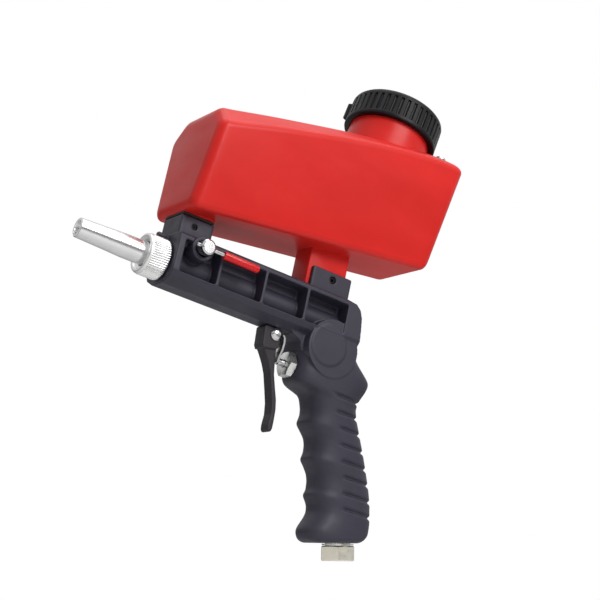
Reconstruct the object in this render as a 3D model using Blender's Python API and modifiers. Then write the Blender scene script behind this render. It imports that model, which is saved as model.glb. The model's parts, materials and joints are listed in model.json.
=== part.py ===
"""Gravity-feed abrasive blasting gun: red hopper, pistol body, nozzle,
sand valve, trigger air valve and 1/4 in air inlet.

Gun frame in millimetres: barrel axis on X (muzzle +X), Y to the left, Z up.
The world origin is the centre of the hand grip.
"""
import math
import bpy
import bmesh
import numpy as np
from mathutils import Matrix, Quaternion, Vector

for ob in list(bpy.data.objects):
    bpy.data.objects.remove(ob, do_unlink=True)

MM = 0.001

# ---------------------------------------------------------------- dimensions
GRIP_CENTRE = (-47.0, 0.0, -80.0)      # becomes the world origin
BODY_FRONT = 93.5
RAIL_TOP, RAIL_SIDE = 15.5, 16.0
TUBE_R = 8.0
NOZZLE_TIP = 147.5
NUT_REAR, NUT_FRONT, NUT_R = 94.0, 107.4, 12.3
SAND = (78.8, 0.0, 9.6)                # sand valve axis (along Y)
PIN = (14.0, 0.0, -18.0)               # trigger pin axis (along Y)
VALVE_Z = -31.5                        # air valve axis (along X)
RAKE = Vector((-0.225, 0.0, -0.97436))  # down the grip
INLET = Vector((-60.0, 0.0, -123.2))   # grip foot on the inlet axis
CAP_BASE = Vector((-39.3, 0.0, 131.2))
CAP_AXIS = Vector((math.sin(math.radians(-10.6)), 0.0, math.cos(math.radians(-10.6))))
CAP_R, CAP_H, NECK_R, MOUTH_R = 30.0, 18.6, 26.0, 22.5
DUCT_X = 78.4
FRONT_SCREW = (84.0, 0.0, 21.9)
REAR_SCREW = (-12.8, 0.0, 24.3)
WALL = 2.5

# ---------------------------------------------------------------- set-up
root = bpy.data.objects.new("gun_frame", None)
bpy.context.scene.collection.objects.link(root)
root.location = [-c * MM for c in GRIP_CENTRE]
root.empty_display_size = 0.02
AXES = {"frame": Vector((0, 0, 0))}
EMPTIES = {"frame": root}


def axis_empty(key, at):
    e = bpy.data.objects.new(key + "_axis", None)
    bpy.context.scene.collection.objects.link(e)
    e.parent = root
    e.location = Vector(at) * MM
    e.empty_display_size = 0.01
    EMPTIES[key] = e
    AXES[key] = Vector(at)


axis_empty("trigger", PIN)
axis_empty("sand_valve", SAND)
axis_empty("cap", CAP_BASE)
axis_empty("nozzle", (0, 0, 0))
axis_empty("valve", (0, 0, VALVE_Z))

CUT = bpy.data.collections.new("cutters")
bpy.context.scene.collection.children.link(CUT)


def material(name, rgb, rough, metal=0.0):
    m = bpy.data.materials.new(name)
    m.use_nodes = True
    b = m.node_tree.nodes["Principled BSDF"]
    b.inputs["Base Color"].default_value = (*rgb, 1)
    b.inputs["Roughness"].default_value = rough
    b.inputs["Metallic"].default_value = metal
    m.diffuse_color = (*rgb, 1)
    return m


LOOK = {
    "body": ((0.045, 0.043, 0.050), 0.45, 0.0),
    "red": ((0.62, 0.02, 0.02), 0.38, 0.0),
    "black": ((0.02, 0.02, 0.022), 0.5, 0.0),
    "rubber": ((0.03, 0.03, 0.03), 0.8, 0.0),
    "steel": ((0.62, 0.62, 0.62), 0.25, 1.0),
    "alu": ((0.72, 0.72, 0.73), 0.38, 1.0),
    "brass": ((0.75, 0.62, 0.33), 0.3, 1.0),
    "vinyl": ((0.70, 0.01, 0.02), 0.3, 0.0),
}


def finish(ob, look, smooth=True):
    """Own material and own collection for a finished node."""
    rgb, rough, metal = LOOK[look]
    ob.data.materials.clear()
    ob.data.materials.append(material(ob.name + "_mat", rgb, rough, metal))
    col = bpy.data.collections.new(ob.name)
    bpy.context.scene.collection.children.link(col)
    for c in list(ob.users_collection):
        c.objects.unlink(ob)
    col.objects.link(ob)
    ob.hide_render = False
    ob.display_type = 'TEXTURED'
    for p in ob.data.polygons:
        p.use_smooth = smooth
    return ob


def place(ob, parent="frame", at=(0, 0, 0), rot=None):
    ob.parent = EMPTIES[parent]
    ob.location = (Vector(at) - AXES[parent]) * MM
    if rot is not None:
        ob.rotation_mode = 'QUATERNION'
        ob.rotation_quaternion = rot
    return ob


def new_ob(name, me, parent="frame", at=(0, 0, 0), rot=None):
    """Objects start as hidden cutters; finish() turns one into a node."""
    ob = bpy.data.objects.new(name, me)
    CUT.objects.link(ob)
    ob.hide_render = True
    ob.display_type = 'WIRE'
    return place(ob, parent, at, rot)


def boolean(ob, tool, op='DIFFERENCE'):
    m = ob.modifiers.new(op[:4] + "_" + tool.name, 'BOOLEAN')
    m.object = tool
    m.operation = op
    m.solver = 'EXACT'
    return ob


def weld(ob):
    m = ob.modifiers.new("weld", 'WELD')
    m.merge_threshold = 0.00003
    return ob


def bevel(ob, width, seg=1, angle=35):
    m = ob.modifiers.new("edges", 'BEVEL')
    m.width = width * MM
    m.segments = seg
    m.limit_method = 'ANGLE'
    m.angle_limit = math.radians(angle)
    return ob


# ---------------------------------------------------------------- shapes
def lathe(name, prof, at, axis, steps=24, parent="frame", closed=True, face=None):
    """prof: (s, r) along the axis. Solid profiles run from s_max at r=0. A hex turns one corner to face."""
    me = bpy.data.meshes.new(name)
    v = [(r * MM, 0, s * MM) for s, r in prof]
    e = [(i, i + 1) for i in range(len(v) - 1)]
    if closed:
        e.append((len(v) - 1, 0))
    me.from_pydata(v, e, [])
    rot = Vector(axis).to_track_quat('Z', 'Y')
    if face is not None:
        d = rot.inverted() @ Vector(face)
        rot = rot @ Quaternion((0, 0, 1), math.atan2(d.y, d.x))
    ob = new_ob(name, me, parent, at, rot)
    m = ob.modifiers.new("turn", 'SCREW')
    m.axis = 'Z'
    m.angle = 2 * math.pi
    m.steps = steps
    m.render_steps = steps
    m.screw_offset = 0
    m.use_merge_vertices = True
    m.merge_threshold = 0.00001
    m.use_smooth_shade = True
    return ob


def rod(name, at, axis, s0, s1, r, steps=24, parent="frame"):
    return lathe(name, [(s1, 0), (s1, r), (s0, r), (s0, 0)], at, axis, steps, parent, False)


def tube(name, at, axis, s0, s1, r_out, r_in, steps=24, parent="frame"):
    return lathe(name, [(s1, r_out), (s0, r_out), (s0, r_in), (s1, r_in)], at, axis, steps, parent)


def ring(name, at, axis, s, r_mid, r_wire, steps=24, parent="frame", n=8):
    prof = [(s - r_wire * math.sin(2 * math.pi * i / n),
             r_mid + r_wire * math.cos(2 * math.pi * i / n)) for i in range(n)]
    return lathe(name, prof, at, axis, steps, parent)


PLANES = {
    "XZ": Matrix(((1, 0, 0, 0), (0, 0, -1, 0), (0, 1, 0, 0), (0, 0, 0, 1))),
    "YZ": Matrix(((0, 0, 1, 0), (1, 0, 0, 0), (0, 1, 0, 0), (0, 0, 0, 1))),
    "XY": Matrix.Identity(4),
}


def curve_to_mesh(name, cu):
    tmp = bpy.data.objects.new(name + "_curve", cu)
    bpy.context.scene.collection.objects.link(tmp)
    bpy.context.view_layer.update()
    dg = bpy.context.evaluated_depsgraph_get()
    me = bpy.data.meshes.new_from_object(tmp.evaluated_get(dg))
    bpy.data.objects.remove(tmp, do_unlink=True)
    bm = bmesh.new()
    bm.from_mesh(me)
    bmesh.ops.remove_doubles(bm, verts=bm.verts, dist=1e-6)
    bmesh.ops.recalc_face_normals(bm, faces=bm.faces)
    bm.to_mesh(me)
    bm.free()
    me.name = name
    return me


def prism(name, pts, plane, lo, hi, parent="frame", holes=()):
    """Filled outline extruded from lo to hi along the plane's normal."""
    cu = bpy.data.curves.new(name, 'CURVE')
    cu.dimensions = '2D'
    cu.fill_mode = 'BOTH'
    cu.extrude = (hi - lo) / 2 * MM
    for loop in [pts, *holes]:
        sp = cu.splines.new('POLY')
        sp.points.add(len(loop) - 1)
        for p, (a, b) in zip(sp.points, loop):
            p.co = (a * MM, b * MM, 0, 1)
        sp.use_cyclic_u = True
    me = curve_to_mesh(name, cu)
    sign = -1 if plane == "XZ" else 1
    me.transform(Matrix.Translation((0, 0, sign * (hi + lo) / 2 * MM)))
    me.transform(PLANES[plane])
    me.transform(Matrix.Translation(-AXES[parent] * MM))
    return new_ob(name, me, parent, AXES[parent])


def block(name, x, y, z, parent="frame"):
    return prism(name, [(x[0], z[0]), (x[1], z[0]), (x[1], z[1]), (x[0], z[1])],
                 "XZ", y[0], y[1], parent)


def loft(name, rings):
    """Hand-built skin between unlike sections."""
    n = len(rings[0])
    v = [Vector(p) * MM for r in rings for p in r]
    f = [[(k + 1) * n + i, (k + 1) * n + (i + 1) % n, k * n + (i + 1) % n, k * n + i]
         for k in range(len(rings) - 1) for i in range(n)]
    f.append(list(range(n)))
    f.append([(len(rings) - 1) * n + i for i in reversed(range(n))])
    me = bpy.data.meshes.new(name)
    me.from_pydata(v, [], f)
    bm = bmesh.new()
    bm.from_mesh(me)
    bmesh.ops.recalc_face_normals(bm, faces=bm.faces)
    bm.to_mesh(me)
    bm.free()
    return new_ob(name, me)


def arc(cx, cz, r, a0, a1, n):
    return [(cx + r * math.cos(math.radians(a0 + (a1 - a0) * i / n)),
             cz + r * math.sin(math.radians(a0 + (a1 - a0) * i / n))) for i in range(n + 1)]


# ================================================================ gun body
# grip: front edge, rear edge and half-width against height
FRONT = [(-8, -3), (-38, -3), (-41.5, -5), (-43.5, -15), (-47, -17.2), (-52, -19),
         (-56, -19.3), (-59.5, -18.4), (-61.5, -17.9), (-63.5, -20.2), (-68, -24.9),
         (-72, -26.4), (-76.5, -26.7), (-79.5, -26), (-81.2, -25.3), (-83.5, -28),
         (-88, -31.8), (-92, -33.3), (-97.4, -33.8), (-99.5, -33), (-101, -32.3),
         (-103, -34.4), (-106, -36.5), (-110, -37.2), (-113, -36.0), (-116, -33.8),
         (-118, -32.5), (-120, -32.9), (-122, -34.8), (-126, -39)]
REAR = [(-8, -36.5), (-15, -39.5), (-20, -44), (-24, -49.5), (-28, -54.6), (-31, -54.4),
        (-36, -52.6), (-41, -50.6), (-46, -50.3), (-52, -52.6), (-60, -57.2), (-70, -62),
        (-80, -67), (-90, -71), (-98, -73.8), (-108, -75.8), (-115, -76.2), (-119, -76.2),
        (-122, -75), (-126, -71)]
HALF = [(-8, 15.2), (-28, 15.0), (-44, 14.4), (-60, 13.8), (-80, 13.6), (-105, 14.2),
        (-120, 14.6), (-126, 14.6)]
GROOVES = [(-42, -29.5), (-51.3, -32.4), (-60, -36.9), (-69.3, -39.5), (-78.5, -43),
           (-87.2, -46.3), (-96.5, -48.1), (-105.4, -49.9)]
GROOVE_DEPTH = 1.1
RING_N = 20


def table(tab, z):
    t = sorted(tab)
    return float(np.interp(z, [a for a, _ in t], [b for _, b in t]))


def grip_ring(z, groove=None, inset=0.0):
    f, r, w = table(FRONT, z), table(REAR, z), table(HALF, z)
    xc, a = (f + r) / 2, (f - r) / 2 - inset
    b = w - inset
    n = 4.0 if z > -36 else max(2.7, 4.0 - (-36 - z) / 8)
    tilt = -0.231 * min(1.0, max(0.0, (-110 - z) / 12))
    pts = []
    for i in range(RING_N):
        t = 2 * math.pi * (i + 0.5) / RING_N
        c, s = math.cos(t), math.sin(t)
        x = xc + a * math.copysign(abs(c) ** (2 / n), c)
        y = b * math.copysign(abs(s) ** (2 / n), s)
        if groove is not None:
            k = min(1.0, max(0.0, (groove - x) / 2.5)) * GROOVE_DEPTH
            nx, ny = c * b, s * a
            d = math.hypot(nx, ny)
            x -= k * nx / d
            y -= k * ny / d
        pts.append((x, y, z + tilt * (x + 54.0)))
    return pts


levels = {z: None for z, _ in FRONT if -121.5 < z < -40}
for z in (-8, -15, -20, -24, -28, -31, -36):
    levels[z] = None
for zg, xs in GROOVES:
    for z in list(levels):
        if abs(z - zg) < 1.9:
            del levels[z]
for zg, xs in GROOVES:
    levels[zg + 1.7] = None
    levels[zg] = xs
    levels[zg - 1.7] = None
rings = [grip_ring(z, levels[z]) for z in sorted(levels, reverse=True)]
rings += [grip_ring(-122.8), grip_ring(-124.0, inset=0.7), grip_ring(-124.6, inset=2.2)]
grip = loft("grip_form", rings)

section = [(16.0, 14.0), (14.5, 15.5), (-14.5, 15.5), (-16.0, 14.0), (-16.0, -7.0),
           (-13.5, -10.6), (-6.0, -14.0), (6.0, -14.0), (13.5, -10.6), (16.0, -7.0)]
body = prism("gun_body", section, "YZ", -38.5, BODY_FRONT)
side = prism("rail_side", [(94.5, -15), (94.5, 17), (-25, 17), (-25, 15.5), (-30, 14.4),
                           (-33.6, 11.5), (-35.6, 7), (-36.6, 0), (-37.4, -8), (-37.6, -15)],
             "XZ", -20, 20)
boolean(body, side, 'INTERSECT')

POCKETS = [(65.6, 89.5), (35.2, 63.8), (5.4, 33.4), (-24.6, 3.6)]
for k, (x0, x1) in enumerate(POCKETS):
    for s, tag in ((1, "l"), (-1, "r")):
        y = (5.0, 17.5) if s > 0 else (-17.5, -5.0)
        boolean(body, bevel(block(f"pocket_{tag}{k}", (x0, x1), y, (-7.0, 12.0)), 1.0, 1))

boolean(body, rod("tube_form", (0, 0, 0), (1, 0, 0), -36.0, BODY_FRONT - 0.6, TUBE_R, 24), 'UNION')
boolean(body, grip, 'UNION')
for s, tag in ((1, "l"), (-1, "r")):
    boolean(body, rod(f"boss_{tag}", (-20.4, 0, -16.8), (0, s, 0), 4.0, 15.15, 17.5, 36), 'UNION')
    boolean(body, lathe(f"disc_{tag}", [(15.8, 0), (15.8, 12.0), (15.3, 12.6), (4.4, 12.6), (4.4, 0)],
                        (-16.7, 0, -15.9), (0, s, 0), 32, "frame", False), 'UNION')
lug = [(10.0, -11.0), (18.0, -11.0)] + arc(PIN[0], PIN[2], 4.0, 0, -180, 10)
boolean(body, prism("trigger_lug", lug, "XZ", -2.5, 2.5), 'UNION')
boolean(body, prism("gusset", [(8.5, -11.5), (5.0, -15.0), (-0.5, -17.0), (-2.0, -22.5), (-6.0, -22.5), (-6.0, -11.5)],
                    "XZ", -9.0, 9.0), 'UNION')
boolean(body, bevel(block("neck_block", (72.0, BODY_FRONT - 0.3), (-11, 11), (9.0, 27.3)), 1.0, 1), 'UNION')
boolean(body, bevel(block("rear_bracket", (-26.3, 2.2), (-11.4, 11.4), (14.2, 29.0)), 1.0, 1), 'UNION')
boolean(body, rod("spindle_boss_l", SAND, (0, 1, 0), 3.0, 17.6, 7.0, 28), 'UNION')
boolean(body, rod("spindle_boss_r", SAND, (0, -1, 0), 3.2, 16.4, 7.0, 28), 'UNION')
boolean(body, rod("spigot", (0, 0, 0), (1, 0, 0), 88.0, 101.0, 9.3, 32), 'UNION')
boolean(body, block("fin", (91.0, 100.5), (-1.6, 1.6), (12.9, 15.1)), 'UNION')

# bores and sockets
boolean(body, lathe("barrel_bore", [(103.0, 0), (103.0, 5.6), (58.0, 5.6), (58.0, 3.0), (-14.0, 3.0), (-14.0, 0)],
                    (0, 0, 0), (1, 0, 0), 20, "frame", False))
boolean(body, rod("riser", (-10.5, 0, 0), (0, 0, 1), -31.5, 0.5, 2.5, 12))
boolean(body, rod("valve_bore", (0, 0, VALVE_Z), (1, 0, 0), -42.0, 0.0, 6.0, 24))
boolean(body, lathe("inlet_bore", [(6.0, 0), (6.0, 7.8), (-16.4, 7.8), (-16.4, 3.0), (-94.0, 3.0), (-94.0, 0)],
                    INLET, RAKE, 20, "frame", False))
boolean(body, rod("spindle_bore", SAND, (0, 1, 0), -20.0, 22.0, 4.7, 24))
boolean(body, rod("sand_duct", (DUCT_X, 0, 0), (0, 0, 1), 1.0, 20.0, 3.0, 16))
boolean(body, block("hopper_socket", (74.0, 91.7), (-9.0, 9.0), (16.6, 30.0)))
boolean(body, block("bracket_slot", (-30.0, 6.0), (-9.0, 9.0), (16.5, 32.0)))
boolean(body, rod("pin_hole", PIN, (0, 1, 0), -8, 8, 1.9, 16))
boolean(body, rod("front_screw_hole", FRONT_SCREW, (0, 1, 0), -14, 14, 1.75, 16))
boolean(body, rod("rear_screw_hole", REAR_SCREW, (0, 1, 0), -14, 14, 2.25, 16))
weld(body)
finish(body, "body")

# ================================================================ nozzle end
jet = lathe("air_jet", [(76.0, 1.6), (75.4, 2.2), (70.4, 2.6), (69.6, 5.3), (66.2, 5.3), (66.2, 3.9),
                        (64.4, 3.9), (64.4, 5.3), (58.4, 5.3), (58.4, 2.4), (68.0, 2.4), (70.0, 1.0), (76.0, 1.0)],
            (0, 0, 0), (1, 0, 0), 20)
finish(jet, "brass")
finish(ring("jet_oring", (0, 0, 0), (1, 0, 0), 65.3, 4.75, 0.7, 24), "rubber")
finish(tube("nozzle_seal", (0, 0, 0), (1, 0, 0), 101.3, 102.3, 9.0, 5.6, 28), "rubber")
nozzle = lathe("nozzle", [(147.5, 5.2), (147.1, 5.7), (130.0, 6.35), (118.0, 6.9), (103.7, 6.9), (103.7, 9.1),
                          (102.6, 9.1), (102.6, 5.0), (108.0, 3.9), (147.3, 3.9), (147.5, 4.0)],
               (0, 0, 0), (1, 0, 0), 28, "nozzle")
finish(nozzle, "steel")
nut = lathe("nozzle_nut", [(107.4, 11.2), (106.3, 12.0), (95.0, 12.3), (94.0, 11.6), (94.0, 9.65), (104.0, 9.65),
                           (104.0, 7.3), (105.6, 7.3), (106.4, 9.4), (107.4, 9.9)],
            (0, 0, 0), (1, 0, 0), 36, "nozzle")
finish(nut, "alu")

# ================================================================ sand valve
spindle = lathe("sand_spindle", [(24.4, 0), (24.4, 3.4), (23.6, 4.4), (12.4, 4.4), (12.4, 3.3), (10.8, 3.3),
                                 (10.8, 4.4), (-16.7, 4.4), (-16.7, 3.2), (-17.7, 3.2), (-17.7, 4.2),
                                 (-18.6, 4.0), (-18.6, 0)], SAND, (0, 1, 0), 24, "sand_valve", False)
boolean(spindle, rod("spindle_port", (SAND[0], 0, SAND[2]), (0, 0, 1), -8, 8, 2.5, 16, "sand_valve"))
boolean(spindle, rod("lever_hole", (SAND[0], 21.0, SAND[2]), (1, 0, 0), -8, 8, 1.4, 12, "sand_valve"))
finish(spindle, "steel")
finish(ring("spindle_oring", SAND, (0, 1, 0), 11.6, 3.95, 0.62, 20, "sand_valve"), "rubber")
finish(tube("spindle_clip", SAND, (0, 1, 0), -17.5, -16.9, 6.2, 3.4, 20, "sand_valve"), "steel")
LEVER_DIR = Vector((-1, 0, -0.02)).normalized()
LEVER_AT = (SAND[0], 21.0, SAND[2])
finish(lathe("sand_lever_rod", [(33.0, 0), (33.0, 0.8), (32.6, 1.15), (-6.0, 1.15), (-6.4, 0.7), (-6.4, 0)],
             LEVER_AT, LEVER_DIR, 12, "sand_valve", False), "steel")
finish(lathe("sand_lever_sleeve", [(35.4, 0), (35.2, 1.5), (34.4, 2.2), (12.4, 2.4), (11.6, 2.1), (11.6, 1.4),
                                   (33.6, 1.4), (33.6, 0)], LEVER_AT, LEVER_DIR, 16, "sand_valve", False), "vinyl")

# ================================================================ hopper
# x, floor height, ridge height at the widest line, roof height, roof half-width
STATIONS = [(93.0, 28.3, 80.0, 93.0, 18.5), (50.0, 33.9, 93.0, 103.2, 19.0), (8.0, 39.4, 105.0, 112.8, 20.0),
            (-30.0, 44.3, 113.5, 119.4, 22.5), (-58.0, 47.9, 118.4, 122.8, 25.0), (-75.0, 50.2, 119.0, 123.0, 25.0)]
FLOOR_W, RIDGE_W = 23.5, 31.5


def hopper_rings(i):
    out = []
    last = len(STATIONS) - 1
    for k, (x, zb, zr, zt, roof_w) in enumerate(STATIONS):
        w = RIDGE_W - (1.0 if k == 0 else 0.0)
        pts = []
        for y, z in ((FLOOR_W - i, zb + i), (w - i, zr), (roof_w - i * 0.6, zt - i),
                     (-roof_w + i * 0.6, zt - i), (-w + i, zr), (-FLOOR_W + i, zb + i)):
            px = x
            if k == 0:
                px = 95.5 - 3.5 * (z - 30.0) / 55.0 - i
            if k == last:
                px = -72.0 - 9.5 * (z - 51.0) / 75.0 + i
            pts.append((px, y, z))
        out.append(pts)
    return out


hopper = loft("hopper", hopper_rings(0.0))
bevel(hopper, 5.0, 2, 24)
boolean(hopper, rod("neck_form", CAP_BASE, CAP_AXIS, -21.0, 13.0, NECK_R, 36), 'UNION')
boolean(hopper, bevel(block("outlet_flange", (72.3, 93.2), (-11, 11), (28.9, 37.0)), 0.6), 'UNION')
boolean(hopper, block("outlet_spigot", (74.3, 91.4), (-8.7, 8.7), (17.0, 34.5)), 'UNION')
boolean(hopper, bevel(block("rear_foot", (-23.2, 4.5), (-8.6, 8.6), (17.0, 48.0)), 0.8), 'UNION')
cavity = loft("hopper_cavity", hopper_rings(WALL))
boolean(hopper, cavity)
boolean(hopper, rod("mouth_bore", CAP_BASE, CAP_AXIS, -30.0, 16.0, MOUTH_R, 36))
boolean(hopper, rod("outlet_bore", (DUCT_X, 0, 0), (0, 0, 1), 15.0, 44.0, 3.0, 16))
boolean(hopper, rod("spigot_screw_hole", FRONT_SCREW, (0, 1, 0), -12, 12, 1.75, 16))
boolean(hopper, rod("foot_screw_hole", REAR_SCREW, (0, 1, 0), -12, 12, 2.25, 16))
BUTTON = (-67.0, 20.5, 122.9)
boolean(hopper, rod("button_hole", BUTTON, (0, 0, 1), -6.0, 4.0, 1.6, 12))
finish(hopper, "red")

gk = prism("outlet_gasket", [(72.6, -10.7), (92.9, -10.7), (92.9, 10.7), (72.6, 10.7)], "XY", 27.6, 28.6, "frame",
           holes=[[(73.9, -9.1), (91.8, -9.1), (91.8, 9.1), (73.9, 9.1)]])
finish(gk, "rubber", False)


def set_screw(name, at, r, half):
    ob = lathe(name, [(half, 0), (half, r - 0.3), (half - 0.4, r), (0.4 - half, r), (-half, r - 0.3), (-half, 0)],
               at, (0, 1, 0), 16, "frame", False)
    boolean(ob, lathe(name + "_socket", [(half + 1, 0), (half + 1, r * 0.55), (half - 1.6, r * 0.55), (half - 1.6, 0)],
                      at, (0, 1, 0), 6, "frame", False))
    return ob


finish(set_screw("hopper_front_screw", FRONT_SCREW, 1.5, 10.2), "steel")
finish(set_screw("hopper_rear_screw", REAR_SCREW, 2.0, 10.4), "steel")

# ================================================================ cap
cap = lathe("cap", [(CAP_H, 0), (CAP_H, CAP_R - 1.8), (CAP_H - 1.8, CAP_R), (0.9, CAP_R), (0, CAP_R - 0.6),
                    (0, 26.5), (15.3, 26.5), (15.3, 0)], CAP_BASE, CAP_AXIS, 40, "cap", False)
lug_at = CAP_BASE + Vector((CAP_AXIS.z * 0.857, -0.515, -CAP_AXIS.x * 0.857)) * 29.8
boolean(cap, rod("cap_lug", lug_at, CAP_AXIS, 4.0, 14.0, 2.3, 12, "cap"), 'UNION')
finish(cap, "black")
finish(tube("cap_gasket", CAP_BASE, CAP_AXIS, 13.3, 15.0, 25.8, 20.0, 32, "cap"), "rubber")
finish(lathe("tether_button", [(2.6, 0), (2.5, 1.6), (1.9, 3.0), (1.0, 3.5), (0.4, 3.5), (0.4, 1.35), (-4.0, 1.35), (-4.6, 0.8), (-4.6, 0)],
             BUTTON, (0, 0, 1), 16, "frame", False), "alu")

# ================================================================ trigger
head = prism("trigger", [(10.3, -17.2), (11.6, -15.1), (14.5, -14.5), (21.4, -14.5), (22.2, -15.4), (21.4, -26.0),
                         (20.2, -28.0), (11.6, -26.5), (10.3, -24.5)], "XZ", -5.0, 5.0, "trigger")
boolean(head, block("fork_slot", (5.0, 19.6), (-2.8, 2.8), (-24.2, -10.0), "trigger"))
lever = prism("trigger_lever", [(21.2, -24.0), (20.6, -26.6), (17.4, -31.0), (14.4, -35.6), (12.0, -40.4), (8.8, -50.2),
                                (6.7, -57.0), (5.7, -63.7), (6.1, -69.9), (5.8, -72.7), (4.6, -74.1), (3.1, -73.6),
                                (2.5, -71.5), (2.5, -66.5), (2.8, -60.5), (3.9, -54.8), (6.3, -48.0), (8.7, -41.0),
                                (9.9, -34.0), (10.7, -28.0), (11.0, -24.4)],
              "XZ", -4.1, 4.1, "trigger")
bevel(lever, 0.7, 1, 60)
boolean(head, lever, 'UNION')
boolean(head, rod("trigger_pin_hole", PIN, (0, 1, 0), -8, 8, 1.9, 16, "trigger"))
finish(head, "body", False)
PLATE = [(8.6, -16.6), (7.4, -18.2), (7.0, -21.0), (7.3, -25.0), (8.3, -29.5), (8.9, -33.5)]
plate_out = [(x + 0.6, z) for x, z in PLATE] + [(x - 0.6, z) for x, z in reversed(PLATE)]
finish(prism("trigger_push_plate", plate_out, "XZ", -4.6, 4.6, "trigger"), "steel", False)
finish(lathe("trigger_pin", [(7.8, 0), (7.65, 1.6), (7.0, 3.0), (5.8, 3.9), (5.3, 3.9), (5.3, 1.7), (-6.3, 1.7),
                             (-6.3, 1.2), (-7.1, 1.2), (-7.1, 1.7), (-7.6, 1.4), (-7.6, 0)],
             PIN, (0, 1, 0), 20, "frame", False), "steel")
finish(tube("trigger_pin_clip", PIN, (0, 1, 0), -7.0, -6.4, 3.6, 1.45, 16), "steel")

# ================================================================ air valve
V = (0, 0, VALVE_Z)
finish(lathe("valve_stem", [(7.3, 0), (7.2, 1.4), (6.6, 2.2), (-16.6, 2.2), (-16.6, 1.2), (-21.6, 1.2), (-21.6, 0)],
             V, (1, 0, 0), 16, "valve", False), "steel")
finish(tube("valve_poppet", V, (1, 0, 0), -20.4, -17.4, 4.8, 1.35, 20, "valve"), "rubber")
finish(tube("valve_seat", V, (1, 0, 0), -17.1, -14.1, 5.7, 3.4, 20), "brass")
gland = lathe("gland_nut", [(2.0, 0), (2.0, 8.08), (-2.6, 8.08), (-2.6, 0)], V, (1, 0, 0), 6, "frame", False)
boolean(gland, rod("gland_barrel", V, (1, 0, 0), -8.0, 0.0, 5.7, 20), 'UNION')
boolean(gland, lathe("gland_bore", [(4.0, 0), (4.0, 2.5), (-4.4, 2.5), (-4.4, 4.3), (-10.0, 4.3), (-10.0, 0)],
                     V, (1, 0, 0), 16, "frame", False))
weld(gland)
finish(gland, "alu", False)
finish(tube("gland_packing", V, (1, 0, 0), -7.7, -4.7, 4.1, 2.45, 16), "rubber")

cu = bpy.data.curves.new("valve_spring", 'CURVE')
cu.dimensions = '3D'
cu.bevel_depth = 0.45 * MM
cu.bevel_resolution = 1
cu.use_fill_caps = True
N, TURNS = 60, 5.0
sp = cu.splines.new('POLY')
sp.points.add(N)
for i, p in enumerate(sp.points):
    t = i / N
    a = 2 * math.pi * TURNS * t
    p.co = ((-21.2 - t * 19.6) * MM, 3.4 * MM * math.cos(a), 3.4 * MM * math.sin(a), 1)
finish(new_ob("valve_spring", curve_to_mesh("valve_spring", cu), "valve", V), "steel")

# ================================================================ air inlet
washer = tube("inlet_washer", INLET, RAKE, 0.4, 1.3, 9.4, 7.9, 24)
finish(washer, "alu")
bush = lathe("inlet_bushing", [(10.4, 0), (10.4, 10.4), (9.7, 10.97), (2.2, 10.97), (1.6, 10.4), (1.6, 0)],
             INLET, RAKE, 6, "frame", False, (0.55, 0.83, 0.0))
boolean(bush, rod("bushing_thread", INLET, RAKE, -14.0, 3.0, 7.5, 24), 'UNION')
boolean(bush, rod("bushing_bore", INLET, RAKE, -20.0, 14.0, 5.4, 24))
finish(bush, "brass", False)
finish(rod("inlet_filter", INLET, RAKE, -16.0, -14.4, 7.3, 20), "brass")

bpy.context.view_layer.update()
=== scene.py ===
"""The finished look of the gravity-feed blasting gun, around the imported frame."""
import json
import math
import bpy
import bmesh
import numpy as np
from mathutils import Matrix, Quaternion, Vector

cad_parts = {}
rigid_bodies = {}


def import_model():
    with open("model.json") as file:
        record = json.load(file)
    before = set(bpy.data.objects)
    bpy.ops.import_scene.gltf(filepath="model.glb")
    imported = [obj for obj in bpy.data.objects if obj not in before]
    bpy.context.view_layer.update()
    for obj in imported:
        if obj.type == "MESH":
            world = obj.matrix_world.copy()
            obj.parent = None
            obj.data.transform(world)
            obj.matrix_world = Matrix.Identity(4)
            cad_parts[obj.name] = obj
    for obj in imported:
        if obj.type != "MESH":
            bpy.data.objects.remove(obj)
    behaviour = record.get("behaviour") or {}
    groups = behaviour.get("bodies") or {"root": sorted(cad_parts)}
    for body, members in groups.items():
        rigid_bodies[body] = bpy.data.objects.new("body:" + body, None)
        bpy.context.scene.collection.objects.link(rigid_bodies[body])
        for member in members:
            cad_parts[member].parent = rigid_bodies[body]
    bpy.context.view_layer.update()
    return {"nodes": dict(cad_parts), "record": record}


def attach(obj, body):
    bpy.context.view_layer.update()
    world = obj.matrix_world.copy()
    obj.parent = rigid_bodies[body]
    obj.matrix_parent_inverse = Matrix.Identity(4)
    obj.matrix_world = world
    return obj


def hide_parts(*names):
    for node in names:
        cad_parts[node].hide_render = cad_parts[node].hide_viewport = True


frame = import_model()

# ==================================================================== shapes
# The same forms as the CAD part, rebuilt at full resolution.
MM = 0.001
FINE = 3                     # round pieces get this many times the steps

# ---------------------------------------------------------------- dimensions
GRIP_CENTRE = (-47.0, 0.0, -80.0)      # becomes the world origin
BODY_FRONT = 93.5
RAIL_TOP, RAIL_SIDE = 15.5, 16.0
TUBE_R = 8.0
NOZZLE_TIP = 147.5
NUT_REAR, NUT_FRONT, NUT_R = 94.0, 107.4, 12.3
SAND = (78.8, 0.0, 9.6)                # sand valve axis (along Y)
PIN = (14.0, 0.0, -18.0)               # trigger pin axis (along Y)
VALVE_Z = -31.5                        # air valve axis (along X)
RAKE = Vector((-0.225, 0.0, -0.97436))  # down the grip
INLET = Vector((-60.0, 0.0, -123.2))   # grip foot on the inlet axis
CAP_BASE = Vector((-39.3, 0.0, 131.2))
CAP_AXIS = Vector((math.sin(math.radians(-10.6)), 0.0, math.cos(math.radians(-10.6))))
CAP_R, CAP_H, NECK_R, MOUTH_R = 30.0, 18.6, 26.0, 22.5
DUCT_X = 78.4
FRONT_SCREW = (84.0, 0.0, 21.9)
REAR_SCREW = (-12.8, 0.0, 24.3)
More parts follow.
